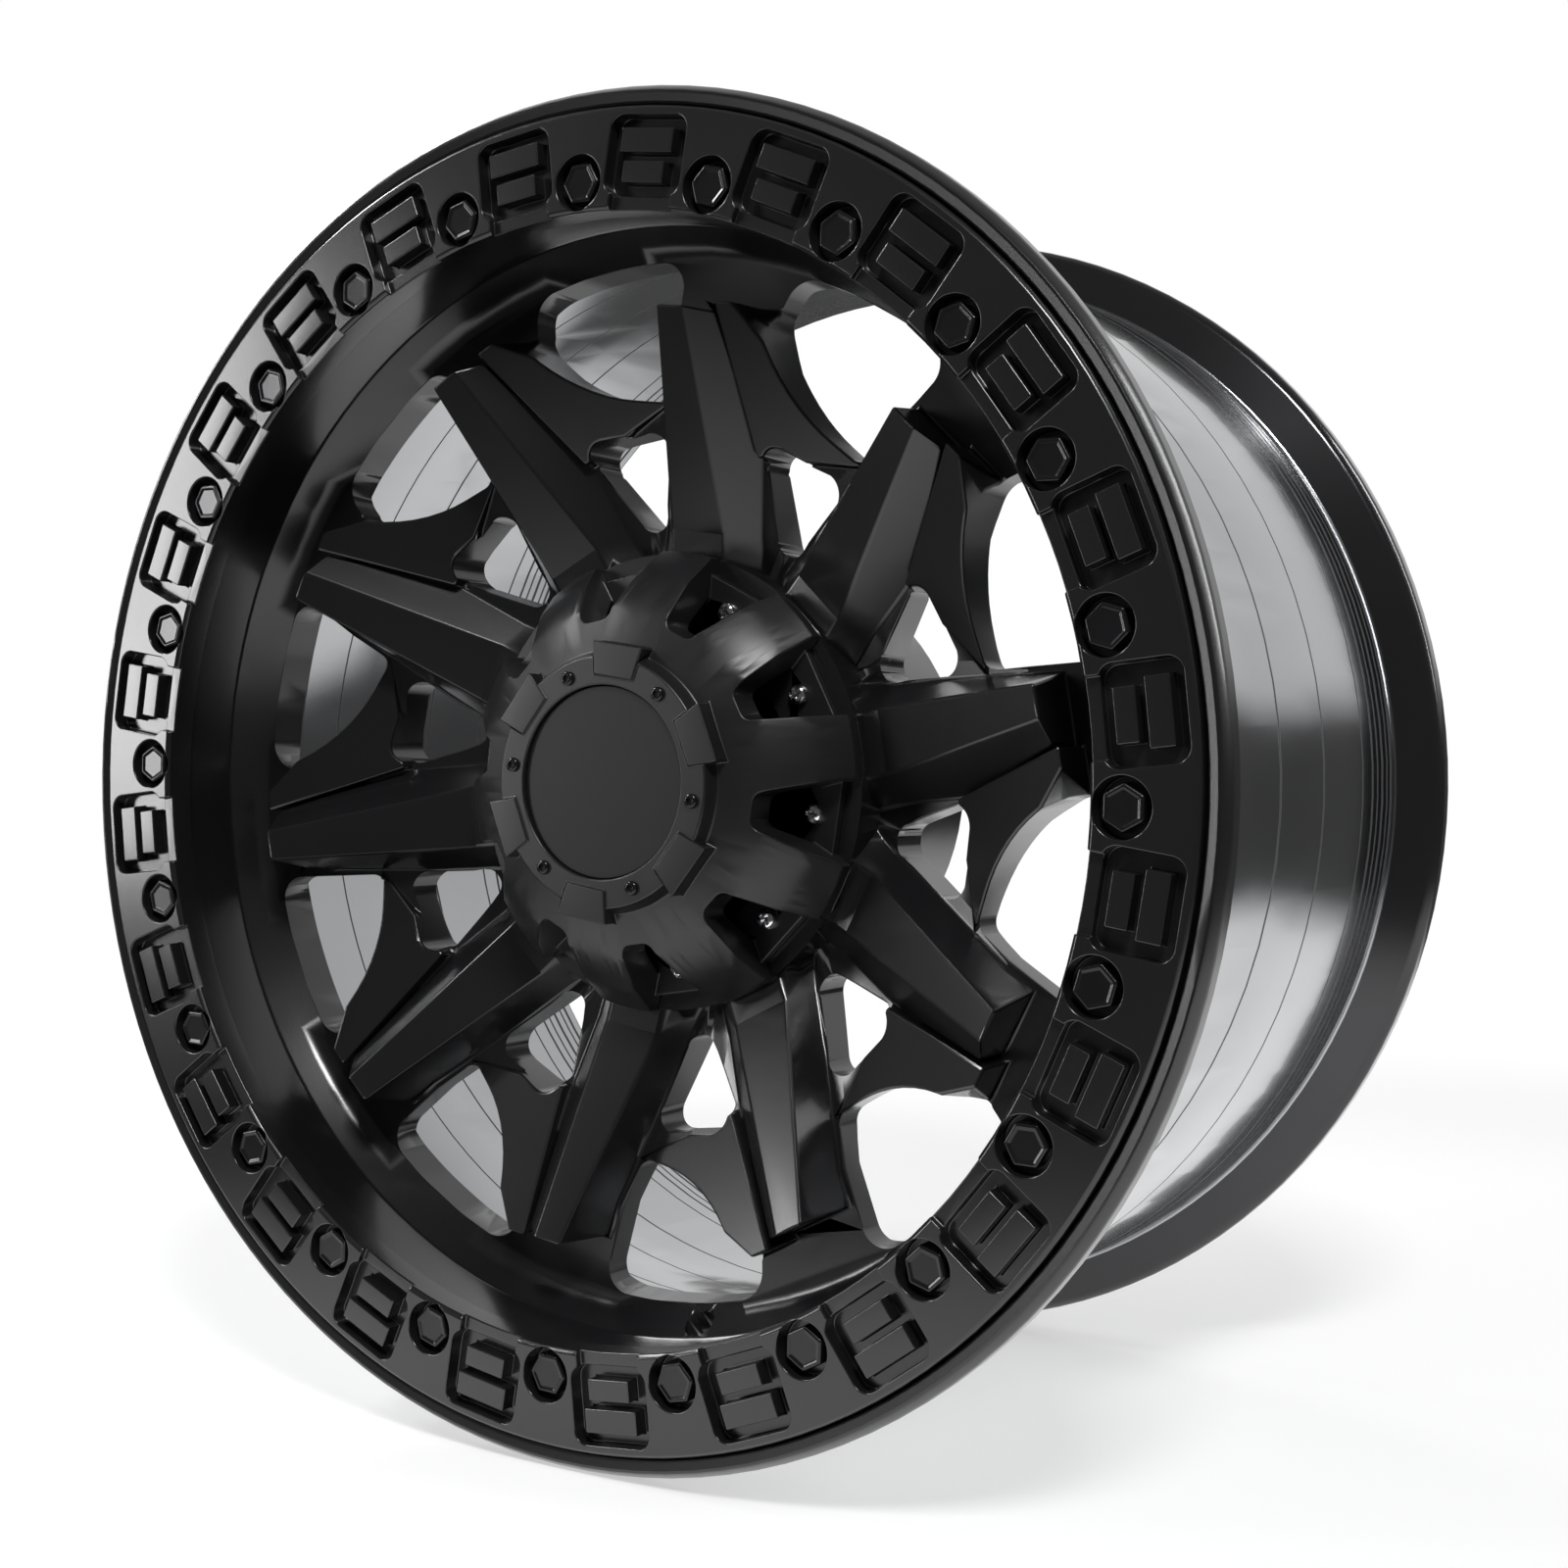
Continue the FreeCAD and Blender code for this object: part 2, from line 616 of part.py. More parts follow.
def make_cap():
    """Build the ten-armed cap with its collar, tabs, ears and screw holes."""
    body = new_body("centre_cap")
    disc_seat = "disc_front + disc_thick"
    base = "hub_front - base_thick"
    revolve(body, "dome", [
        ("0", disc_seat),
        ("disc_r + disc_clearance", disc_seat),
        ("disc_r + disc_clearance", "collar_front"),
        ("collar_r", "collar_front"),
        ("collar_r + 2", "collar_side"),
        ("dome_mid_r", "dome_mid"),
        ("dome_low_r", "dome_low"),
        ("arm_r", "arm_end"),
        ("arm_r", "hub_front"),
        ("base_inner_r", "hub_front"),
        ("base_inner_r", base),
        ("dome_low_r - cap_wall", base),
        ("dome_mid_r - cap_wall", "dome_mid + cap_wall * 2"),
        ("collar_r", "collar_side + cap_wall * 1.5"),
        ("0", "collar_side + cap_wall * 1.5"),
    ])
    tab = front_sketch(body, "tab_outline", "dome_mid")
    add_polygon(tab, [
        ("tab_inner_r", "-tab_inner_half"),
        ("tab_outer_r", "-tab_outer_half"),
        ("tab_outer_r", "tab_outer_half"),
        ("tab_inner_r", "tab_inner_half"),
    ])
    tabs = pad(body, "tab", tab, "dome_mid - collar_front + tab_rise")
    pattern(body, "tabs", [tabs], "tab_count")
    middle = "180 / spoke_count"
    slot = front_sketch(body, "slot_outline", base, middle)
    add_rounded(slot, [
        ("slot_inner_r", "-slot_inner_half", "slot_corner"),
        ("slot_outer_r", "-slot_outer_half", "slot_corner"),
        ("slot_outer_r", "slot_outer_half", "slot_corner"),
        ("slot_inner_r", "slot_inner_half", "slot_corner"),
    ])
    notch = front_sketch(body, "notch_outline", base, middle)
    rise = "(slot_outer_half - slot_inner_half) / (slot_outer_r - slot_inner_r)"
    notch_half = f"slot_inner_half + (ear_r - slot_inner_r) * {rise}"
    add_polygon(notch, [
        ("ear_r", f"-({notch_half})"),
        ("slot_outer_r", "-slot_outer_half"),
        ("slot_outer_r", "slot_outer_half"),
        ("ear_r", notch_half),
    ])
    hole = front_sketch(body, "ear_hole_outline", base, middle)
    add_circle(hole, "cap_screw_circle_r", "0", "cap_screw_r + screw_clearance")
    doc.recompute()
    cuts = [
        pocket(body, "slot", slot, "hub_front", forward=True),
        pocket(body, "notch", notch, "base_thick"),
        pocket(body, "ear_hole", hole, "base_thick"),
    ]
    pattern(body, "slots", cuts, "spoke_count")
    thread = front_sketch(body, "collar_thread_outline", "collar_front", "180 / tab_count")
    add_circle(thread, "collar_screw_circle_r", "0", "collar_screw_r + screw_clearance")
    threads = pocket(body, "collar_thread", thread, "collar_screw_reach")
    pattern(body, "collar_threads", [threads], "tab_count")
    return body


def make_disc():
    """Build the plain disc that closes the middle of the cap."""
    body = new_body("cap_disc")
    outline = front_sketch(body, "disc_outline", "disc_front + disc_thick")
    add_circle(outline, "0", "0", "disc_r")
    body.Tip = pad(body, "disc", outline, "disc_thick")
    return body


def make_screws(label, count, turn, circle, seat, prefix):
    """Build a ring of round-head screws as a group of separate solids."""
    body = new_body(label)
    head = front_sketch(body, "head_outline", seat, turn)
    add_circle(head, circle, "0", f"{prefix}_head_r")
    shank = front_sketch(body, "shank_outline", seat, turn)
    add_circle(shank, circle, "0", f"{prefix}_screw_r")
    reach = f"{prefix}_screw_reach - screw_clearance"
    if prefix == "cap":
        reach += " + base_thick"
    pieces = [
        pad(body, "head", head, f"{prefix}_head_tall"),
        pad(body, "shank", shank, reach, forward=False),
    ]
    pattern(body, "screws", pieces, count)
    return body


def export(bodies):
    """Check every object and write one file for each body."""
    doc.recompute()
    for item in doc.Objects:
        if "Invalid" in item.State or "Error" in item.State:
            raise RuntimeError(f"{item.Name} did not build: {item.State}")
    os.makedirs("parts", exist_ok=True)
    for body in bodies:
        if body.Shape.isNull() or not body.Shape.isValid():
            raise RuntimeError(f"{body.Label} has no valid shape")
        body.Shape.exportStep(f"parts/{body.Label}.step")


export([
    make_casting(),
    make_ring(),
    make_ring_bolts(),
    make_cap(),
    make_disc(),
    make_screws("cap_screws", "spoke_count", "180 / spoke_count", "cap_screw_circle_r",
                "hub_front - base_thick", "cap"),
    make_screws("collar_screws", "tab_count", "180 / tab_count", "collar_screw_circle_r",
                "collar_front", "collar"),
])
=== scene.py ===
"""Looks of a satin black wheel rim with a bolted lip ring and a ten-armed centre cap.

The axle is the Y axis, the styled face looks to -Y and +Z is up. The scene is in metres. The
pieces' own sizes are in millimetres and degrees, and MM takes them to metres.
"""
import logging
import math
from dataclasses import dataclass
from enum import Enum, IntEnum
from typing import Callable

import bpy
from mathutils import Matrix, Vector


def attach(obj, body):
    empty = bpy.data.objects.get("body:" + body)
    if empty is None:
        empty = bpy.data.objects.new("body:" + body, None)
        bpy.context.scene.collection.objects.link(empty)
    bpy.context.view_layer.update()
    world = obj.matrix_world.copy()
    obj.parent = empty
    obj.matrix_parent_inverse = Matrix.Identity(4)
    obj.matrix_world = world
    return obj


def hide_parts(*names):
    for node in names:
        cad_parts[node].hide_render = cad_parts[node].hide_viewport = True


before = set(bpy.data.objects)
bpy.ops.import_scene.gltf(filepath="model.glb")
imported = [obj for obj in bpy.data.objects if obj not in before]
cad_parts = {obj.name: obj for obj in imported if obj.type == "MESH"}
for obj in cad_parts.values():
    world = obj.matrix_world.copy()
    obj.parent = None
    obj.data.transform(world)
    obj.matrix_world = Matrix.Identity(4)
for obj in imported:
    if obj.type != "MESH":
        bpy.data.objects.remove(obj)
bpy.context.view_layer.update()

LOG = logging.getLogger("wheel_rim")
MM = 0.001
QUARTER_TURN = math.pi / 2
WHITE = (1.0, 1.0, 1.0, 1.0)
BLACK = (0.0, 0.0, 0.0, 1.0)

# The lip ring's front face on the axle. Every depth below is measured back from it.
FRONT = -0.127

# How many fasteners a group has, and the angle of its first one in degrees.
RING_BOLTS = 24
RING_BOLT_PHASE = 88.0
CAP_SCREWS = 10
CAP_SCREW_PHASE = 98.7
COLLAR_SCREWS = 6
COLLAR_SCREW_PHASE = 110.7

# Turned lines on the barrel: depth and half width of each in millimetres, then their look. The
# lines are darkened in colour and lose their metal and coat, as painted shade in the barrel's
# grooves.
BARREL_LINES = (
    (96.0, 0.5), (130.0, 0.8), (165.0, 0.8), (203.0, 0.7), (213.0, 1.0), (218.5, 0.8),
    (224.0, 1.2), (229.5, 0.8), (234.0, 1.2))
# How far each line's colour is darkened: painted shade in the barrel's grooves.
LINE_PAINTED_SHADE = 0.12
LINE_ROUGH = 0.55
LINE_CORE = 0.4

# The slow cloud and the fine relief that every finish has.
CLOUD_SCALE = 14.0
CLOUD_DETAIL = 3.0
GRAIN_DETAIL = 2.0
RELIEF_DEPTH = 0.0004

# Mesh cleaning: a distance in metres, then angles in degrees.
WELD = 1e-5
FLAT_ANGLE = 0.6
SHARP_ANGLE = 24.0
SMOOTH_ANGLE = 38.0
SHADE_MARGIN = 2.0

# Facets across a round, and round a screw's head.
ROUND_SEGMENTS = 2
HEAD_SIDES = 32
HEX_SIDES = 6


class Recess(Enum):
    """The shape that a driver fits in a screw's head."""

    CROSS = "cross"
    HEX = "hex"


class Coating(IntEnum):
    """The casting's material slots."""

    FACE = 0
    BARREL = 1
    FLANGE = 2


def clear_selection() -> None:
    """Leave object mode with nothing selected."""
    if bpy.context.mode != "OBJECT":
        bpy.ops.object.mode_set(mode="OBJECT")
    bpy.ops.object.select_all(action="DESELECT")


def take(piece: bpy.types.Object) -> None:
    """Make one piece the only selected and active object.

    Args:
        piece: the object.
    """
    clear_selection()
    piece.select_set(True)
    bpy.context.view_layer.objects.active = piece


def select_front(piece: bpy.types.Object) -> None:
    """Enter edit mode with only the foremost face of a piece selected.

    Args:
        piece: the mesh object.
    """
    take(piece)
    bpy.ops.object.mode_set(mode="EDIT")
    bpy.ops.mesh.select_mode(type="FACE")
    bpy.ops.mesh.select_all(action="DESELECT")
    bpy.ops.object.mode_set(mode="OBJECT")
    front = min(piece.data.polygons, key=lambda face: face.center.y)
    front.select = True
    bpy.ops.object.mode_set(mode="EDIT")


def on_circle(radius: float, degrees: float, depth: float) -> Vector:
    """Return a point on a circle about the axle.

    Args:
        radius: distance from the axle in millimetres.
        degrees: angle from +X, anticlockwise seen from the front.
        depth: distance behind the lip ring's front face in millimetres.

    Returns:
        The point in metres.
    """
    angle = math.radians(degrees)
    across = radius * MM * math.cos(angle)
    up = radius * MM * math.sin(angle)
    return Vector((across, FRONT + depth * MM, up))


def turn_about_axle(degrees: float) -> Matrix:
    """Return a turn about the axle.

    Args:
        degrees: angle that +X is taken to, anticlockwise seen from the front.

    Returns:
        The turn as a matrix.
    """
    return Matrix.Rotation(math.radians(-degrees), 4, "Y")


@dataclass(frozen=True)
class Finish:
    """One surface finish with grain in its gloss, a fine relief and painted shade along any lines
    given.
    """

    name: str
    base: tuple[float, float, float]
    shade: tuple[float, float, float]
    rough_low: float
    rough_high: float
    metallic: float = 0.0
    coat: float = 0.0
    coat_rough: float = 0.1
    grain: float = 900.0
    relief: float = 0.02
    specular: float = 0.5
    turned_lines_with_painted_shade: tuple[tuple[float, float], ...] = ()

    def material(self) -> bpy.types.Material:
        """Build the finish as a material.

        Returns:
            A material that reads Object coordinates only.
        """
        material = bpy.data.materials.new(self.name)
        material.use_nodes = True
        nodes = material.node_tree.nodes
        links = material.node_tree.links
        shader = nodes["Principled BSDF"]
        shader.inputs["Metallic"].default_value = self.metallic
        shader.inputs["Coat Weight"].default_value = self.coat
        shader.inputs["Coat Roughness"].default_value = self.coat_rough
        shader.inputs["Specular IOR Level"].default_value = self.specular
        place = nodes.new("ShaderNodeTexCoord")
        cloud = self._noise(nodes, links, place, CLOUD_SCALE, CLOUD_DETAIL)
        grain = self._noise(nodes, links, place, self.grain, GRAIN_DETAIL)
        colour = nodes.new("ShaderNodeMix")
        colour.data_type = "RGBA"
        colour.inputs["A"].default_value = (*self.base, 1.0)
        colour.inputs["B"].default_value = (*self.shade, 1.0)
        links.new(cloud.outputs["Fac"], colour.inputs["Factor"])
        gloss = nodes.new("ShaderNodeMapRange")
        gloss.inputs["To Min"].default_value = self.rough_low
        gloss.inputs["To Max"].default_value = self.rough_high
        links.new(cloud.outputs["Fac"], gloss.inputs["Value"])
        paint = colour.outputs["Result"]
        rough = gloss.outputs["Result"]
        # The lines get a darker colour and no metal or coat, which is painted shade in the
        # barrel's grooves, and a rougher gloss.
        if self.turned_lines_with_painted_shade:
            mask = self._line_mask(nodes, links, place)
            dark = tuple(LINE_PAINTED_SHADE * channel for channel in self.base)
            paint = self._blend(nodes, links, mask, paint, (*dark, 1.0))
            rough = self._fade(nodes, links, mask, rough, LINE_ROUGH)
            metallic = self._fade(nodes, links, mask, self.metallic, 0.0)
            coat = self._fade(nodes, links, mask, self.coat, 0.0)
            links.new(metallic, shader.inputs["Metallic"])
            links.new(coat, shader.inputs["Coat Weight"])
        links.new(paint, shader.inputs["Base Color"])
        links.new(rough, shader.inputs["Roughness"])
        bump = nodes.new("ShaderNodeBump")
        bump.inputs["Strength"].default_value = self.relief
        bump.inputs["Distance"].default_value = RELIEF_DEPTH
        links.new(grain.outputs["Fac"], bump.inputs["Height"])
        links.new(bump.outputs["Normal"], shader.inputs["Normal"])
        return material

    def _line_mask(self, nodes: bpy.types.Nodes, links: bpy.types.NodeLinks,
                   place: bpy.types.Node) -> bpy.types.NodeSocket:
        """Mark thin lines that run round the axle.

        Args:
            nodes: the material's nodes.
            links: the material's links.
            place: the texture coordinate node.

        Returns:
            A value that is 1 on each line and 0 between them.
        """
        split = nodes.new("ShaderNodeSeparateXYZ")
        links.new(place.outputs["Object"], split.inputs["Vector"])
        mask = None
        for depth, half in self.turned_lines_with_painted_shade:
            offset = nodes.new("ShaderNodeMath")
            offset.operation = "SUBTRACT"
            offset.inputs[1].default_value = FRONT + depth * MM
            links.new(split.outputs["Y"], offset.inputs[0])
            away = nodes.new("ShaderNodeMath")
            away.operation = "ABSOLUTE"
            links.new(offset.outputs["Value"], away.inputs[0])
            line = nodes.new("ShaderNodeMapRange")
            line.inputs["From Min"].default_value = half * MM
            line.inputs["From Max"].default_value = half * MM * LINE_CORE
            links.new(away.outputs["Value"], line.inputs["Value"])
            if mask is None:
                mask = line.outputs["Result"]
                continue
            most = nodes.new("ShaderNodeMath")
            most.operation = "MAXIMUM"
            links.new(mask, most.inputs[0])
            links.new(line.outputs["Result"], most.inputs[1])
            mask = most.outputs["Value"]
        return mask

    @staticmethod
    def _blend(nodes: bpy.types.Nodes, links: bpy.types.NodeLinks, mask: bpy.types.NodeSocket,
               under: bpy.types.NodeSocket,
               over: tuple[float, float, float, float]) -> bpy.types.NodeSocket:
        """Lay one colour over another.

        Args:
            nodes: the material's nodes.
            links: the material's links.
            mask: where the upper colour shows.
            under: the lower colour.
            over: the upper colour.

        Returns:
            The mixed colour.
        """
        mix = nodes.new("ShaderNodeMix")
        mix.data_type = "RGBA"
        mix.inputs["B"].default_value = over
        links.new(mask, mix.inputs["Factor"])
        links.new(under, mix.inputs["A"])
        return mix.outputs["Result"]

    @staticmethod
    def _fade(nodes: bpy.types.Nodes, links: bpy.types.NodeLinks, mask: bpy.types.NodeSocket,
              under: bpy.types.NodeSocket | float, over: float) -> bpy.types.NodeSocket:
        """Take one value to another.

        Args:
            nodes: the material's nodes.
            links: the material's links.
            mask: where the second value holds.
            under: the first value.
            over: the second value.

        Returns:
            The mixed value.
        """
        fade = nodes.new("ShaderNodeMapRange")
        if isinstance(under, float):
            fade.inputs["To Min"].default_value = under
        else:
            links.new(under, fade.inputs["To Min"])
        fade.inputs["To Max"].default_value = over
        links.new(mask, fade.inputs["Value"])
        return fade.outputs["Result"]

    @staticmethod
    def _noise(nodes: bpy.types.Nodes, links: bpy.types.NodeLinks, place: bpy.types.Node,
               scale: float, detail: float) -> bpy.types.Node:
        """Add one noise texture on Object coordinates.

        Args:
            nodes: the material's nodes.
            links: the material's links.
            place: the texture coordinate node.
            scale: the noise's scale.
            detail: the noise's detail.

        Returns:
            The noise's node.
        """
        noise = nodes.new("ShaderNodeTexNoise")
        noise.inputs["Scale"].default_value = scale
        noise.inputs["Detail"].default_value = detail
        links.new(place.outputs["Object"], noise.inputs["Vector"])
        return noise


FACE_PAINT = Finish(
    "face_paint", base=(0.008, 0.008, 0.009), shade=(0.012, 0.012, 0.013), rough_low=0.20,
    rough_high=0.28, coat=0.2, coat_rough=0.12)
BARREL_PAINT = Finish(
    "barrel_paint", base=(0.320, 0.326, 0.338), shade=(0.360, 0.366, 0.378), rough_low=0.14,
    rough_high=0.20, metallic=1.0, coat=0.6, coat_rough=0.06, grain=1600.0,
    turned_lines_with_painted_shade=BARREL_LINES)
FLANGE_PAINT = Finish(
    "flange_paint", base=(0.030, 0.030, 0.032), shade=(0.040, 0.040, 0.043), rough_low=0.14,
    rough_high=0.20, metallic=0.7, coat=0.4, coat_rough=0.06)
RING_PAINT = Finish(
    "ring_paint", base=(0.009, 0.009, 0.010), shade=(0.013, 0.013, 0.014), rough_low=0.20,
    rough_high=0.28, coat=0.2, coat_rough=0.12)
BOLT_BLACK = Finish(
    "bolt_black", base=(0.012, 0.012, 0.013), shade=(0.020, 0.020, 0.022), rough_low=0.14,
    rough_high=0.22, metallic=0.4)
CAP_PAINT = Finish(
    "cap_paint", base=(0.010, 0.010, 0.011), shade=(0.014, 0.014, 0.015), rough_low=0.32,
    rough_high=0.40, coat=0.1, coat_rough=0.3)
DISC_PAINT = Finish(
    "disc_paint", base=(0.012, 0.012, 0.013), shade=(0.016, 0.016, 0.017), rough_low=0.40,
    rough_high=0.48, specular=0.3)
CHROME = Finish(
    "chrome", base=(0.72, 0.72, 0.74), shade=(0.80, 0.80, 0.82), rough_low=0.08,
    rough_high=0.16, metallic=1.0, relief=0.01)


def dress(piece: bpy.types.Object, finishes: list[Finish], node: str,
          chooser: Callable[[bpy.types.MeshPolygon], int] | None = None) -> None:
    """Give a piece its finishes and tie it to the node that it stands for.

    Args:
        piece: the finished mesh object.
        finishes: one finish for each material slot.
        node: the CAD node that the piece stands for.
        chooser: picks a slot number for a face, or None for the first slot all over.
    """
    piece.data.materials.clear()
    for finish in finishes:
        piece.data.materials.append(finish.material())
    for face in piece.data.polygons:
        face.material_index = chooser(face) if chooser else 0
    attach(piece, "root")
    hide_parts(node)
    LOG.info("%s: %d faces for %s", piece.name, len(piece.data.polygons), node)


def copy_of(node: str, name: str) -> bpy.types.Object:
    """Copy a CAD node's mesh, join its loose triangles and free its flat faces of cuts.

    Args:
        node: the CAD node.
        name: the new piece's name.

    Returns:
        The new object, selected and active.
    """
    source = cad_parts[node]
    piece = bpy.data.objects.new(name, source.data.copy())
    bpy.context.scene.collection.objects.link(piece)
    take(piece)
    bpy.ops.object.mode_set(mode="EDIT")
    bpy.ops.mesh.select_all(action="SELECT")
    bpy.ops.mesh.remove_doubles(threshold=WELD)
    bpy.ops.mesh.dissolve_limited(angle_limit=math.radians(FLAT_ANGLE))
    bpy.ops.object.mode_set(mode="OBJECT")
    return piece


def soften(piece: bpy.types.Object, width: float, segments: int = ROUND_SEGMENTS,
           angle: float = SHARP_ANGLE) -> None:
    """Round all sharp edges of a piece and shade the rest smooth.

    Args:
        piece: the mesh object.
        width: the round's width in millimetres.
        segments: facets across the round.
        angle: edges that turn by more than this, in degrees, are rounded.
    """
    take(piece)
    bevel = piece.modifiers.new("rounds", "BEVEL")
    bevel.width = width * MM
    bevel.segments = segments
    bevel.limit_method = "ANGLE"
    bevel.angle_limit = math.radians(angle)
    bevel.use_clamp_overlap = False
    bpy.ops.object.modifier_apply(modifier=bevel.name)
    shade(piece)


def soften_some(piece: bpy.types.Object, width: float,
                wanted: Callable[[Vector, float], bool]) -> None:
    """Round the sharp edges that a test picks and keep the others sharp.

    Args:
        piece: the mesh object.
        width: the round's width in millimetres.
        wanted: says for an edge's middle and length, in metres, whether it is rounded.
    """
    take(piece)
    bpy.ops.object.mode_set(mode="EDIT")
    bpy.ops.mesh.select_mode(type="EDGE")
    bpy.ops.mesh.select_all(action="DESELECT")
    bpy.ops.mesh.edges_select_sharp(sharpness=math.radians(SHARP_ANGLE))
    bpy.ops.object.mode_set(mode="OBJECT")
    points = piece.data.vertices
    for edge in piece.data.edges:
        one, other = (points[index].co for index in edge.vertices)
        edge.select = edge.select and wanted((one + other) / 2, (one - other).length)
    bpy.ops.object.mode_set(mode="EDIT")
    bpy.ops.mesh.bevel(
        offset=width * MM, segments=ROUND_SEGMENTS, affect="EDGES", clamp_overlap=False)
    bpy.ops.object.mode_set(mode="OBJECT")
    shade(piece, SHARP_ANGLE - SHADE_MARGIN)


def shade(piece: bpy.types.Object, angle: float = SMOOTH_ANGLE) -> None:
    """Shade a piece smooth over slight bends, with its flat faces kept flat.

    Args:
        piece: the mesh object.
        angle: bends below this, in degrees, are smooth.
    """
    take(piece)
    bpy.ops.object.shade_smooth_by_angle(angle=math.radians(angle))
    flat = piece.modifiers.new("flat_faces", "WEIGHTED_NORMAL")
    flat.mode = "FACE_AREA"
    flat.keep_sharp = True
    bpy.ops.object.modifier_apply(modifier=flat.name)


def repeat_about_axle(piece: bpy.types.Object, count: int, first: float) -> None:
    """Copy a piece modelled on +X round the axle and join the copies into it.

    Args:
        piece: the mesh object, modelled at angle zero.
        count: number of copies in the full turn.
        first: angle of the first copy in degrees.
    """
    copies = []
    for index in range(count):
        mesh = piece.data.copy()
        mesh.transform(turn_about_axle(first + 360.0 / count * index))
        copy = bpy.data.objects.new(f"{piece.name}_{index}", mesh)
        bpy.context.scene.collection.objects.link(copy)
        copies.append(copy)
    piece.data.clear_geometry()
    take(piece)
    for copy in copies:
        copy.select_set(True)
    bpy.ops.object.join()


@dataclass
class Casting:
    """The rim, web, spokes and hub. Radii, depths and lengths are in millimetres.

    The first group says where rounds go, with the least length of a rounded edge.
    The second says where the barrel's and the rear flange's finishes start.
    """

    edge: float = 1.0
    spoke_from_r: float = 84.0
    spoke_to_r: float = 174.0
    spoke_back: float = 80.0
    spoke_edge: float = 1.0
    rim_from_r: float = 190.0
    rim_edge: float = 3.0

    barrel_inside_r: float = 190.0
    barrel_inside_from: float = 74.0
    barrel_outside_r: float = 200.0
    barrel_outside_from: float = 14.5
    rear_flange_from: float = 238.5

    def build(self) -> None:
        """Model the casting."""
        piece = copy_of("wheel_casting", "casting")
        soften_some(piece, self.edge, self._has_round)
        finishes = [FACE_PAINT, BARREL_PAINT, FLANGE_PAINT]
        dress(piece, finishes, "wheel_casting", self._slot_of)

    def _has_round(self, middle: Vector, length: float) -> bool:
        """Say whether an edge lies on the spokes or is a long one of the rim.

        Args:
            middle: the edge's middle in metres.
            length: the edge's length in metres.

        Returns:
            True if the edge is rounded.
        """
        radius = math.hypot(middle.x, middle.z) / MM
        behind = (middle.y - FRONT) / MM
        if radius > self.rim_from_r:
            return length > self.rim_edge * MM
        on_spoke = self.spoke_from_r < radius < self.spoke_to_r and behind < self.spoke_back
        return on_spoke and length > self.spoke_edge * MM

    def _slot_of(self, face: bpy.types.MeshPolygon) -> Coating:
        """Pick a face's finish by its distance from the axle and its depth.

        Args:
            face: a face of the casting.

        Returns:
            The slot that the face belongs to.
        """
        radius = math.hypot(face.center.x, face.center.z) / MM
        behind = (face.center.y - FRONT) / MM
        if behind > self.rear_flange_from and radius > self.barrel_inside_r:
            return Coating.FLANGE
        inside = radius > self.barrel_inside_r and behind > self.barrel_inside_from
        outside = radius > self.barrel_outside_r and behind > self.barrel_outside_from
        return Coating.BARREL if inside or outside else Coating.FACE


@dataclass
class LipRing:
    """The ring on the front flange."""

    edge: float = 0.5

    def build(self) -> None:
        """Model the ring."""
        piece = copy_of("lip_ring", "ring")
        soften(piece, self.edge)
        dress(piece, [RING_PAINT], "lip_ring")


@dataclass
class HexBolt:
    """The hexagon-head bolts of the lip ring, in millimetres and degrees."""

    across: float = 13.0
    tall: float = 5.3
    seat: float = 7.0
    circle_r: float = 203.6
    chamfer: float = 0.9
    dish: float = 1.0
    dish_deep: float = 0.5
    edge: float = 0.35
    edge_angle: float = 20.0

    def build(self) -> None:
        """Model one head and copy it round the ring."""
        clear_selection()
        bpy.ops.mesh.primitive_cylinder_add(
            vertices=HEX_SIDES, radius=self.across / math.sqrt(3) * MM, depth=self.tall * MM,
            rotation=(QUARTER_TURN, 0, 0),
            location=on_circle(self.circle_r, 0, self.seat - self.tall / 2))
        piece = bpy.context.object
        piece.name = "ring_bolt_heads"
        bpy.ops.object.transform_apply(location=True, rotation=True, scale=True)
        select_front(piece)
        bpy.ops.mesh.inset(thickness=self.chamfer * MM, depth=self.dish_deep * MM)
        bpy.ops.mesh.inset(thickness=self.dish * MM, depth=-self.dish_deep * MM)
        bpy.ops.object.mode_set(mode="OBJECT")
        soften(piece, self.edge, angle=self.edge_angle)
        repeat_about_axle(piece, RING_BOLTS, RING_BOLT_PHASE)
        dress(piece, [BOLT_BLACK], "ring_bolts")


@dataclass
class CentreCap:
    """The ten-armed cap and the plain disc in its middle."""

    edge: float = 0.6
    disc_edge: float = 0.6
    disc_segments: int = 3

    def build(self) -> None:
        """Model the cap and its disc."""
        cap = copy_of("centre_cap", "cap")
        soften(cap, self.edge)
        dress(cap, [CAP_PAINT], "centre_cap")
        disc = copy_of("cap_disc", "disc")
        soften(disc, self.disc_edge, self.disc_segments)
        dress(disc, [DISC_PAINT], "cap_disc")


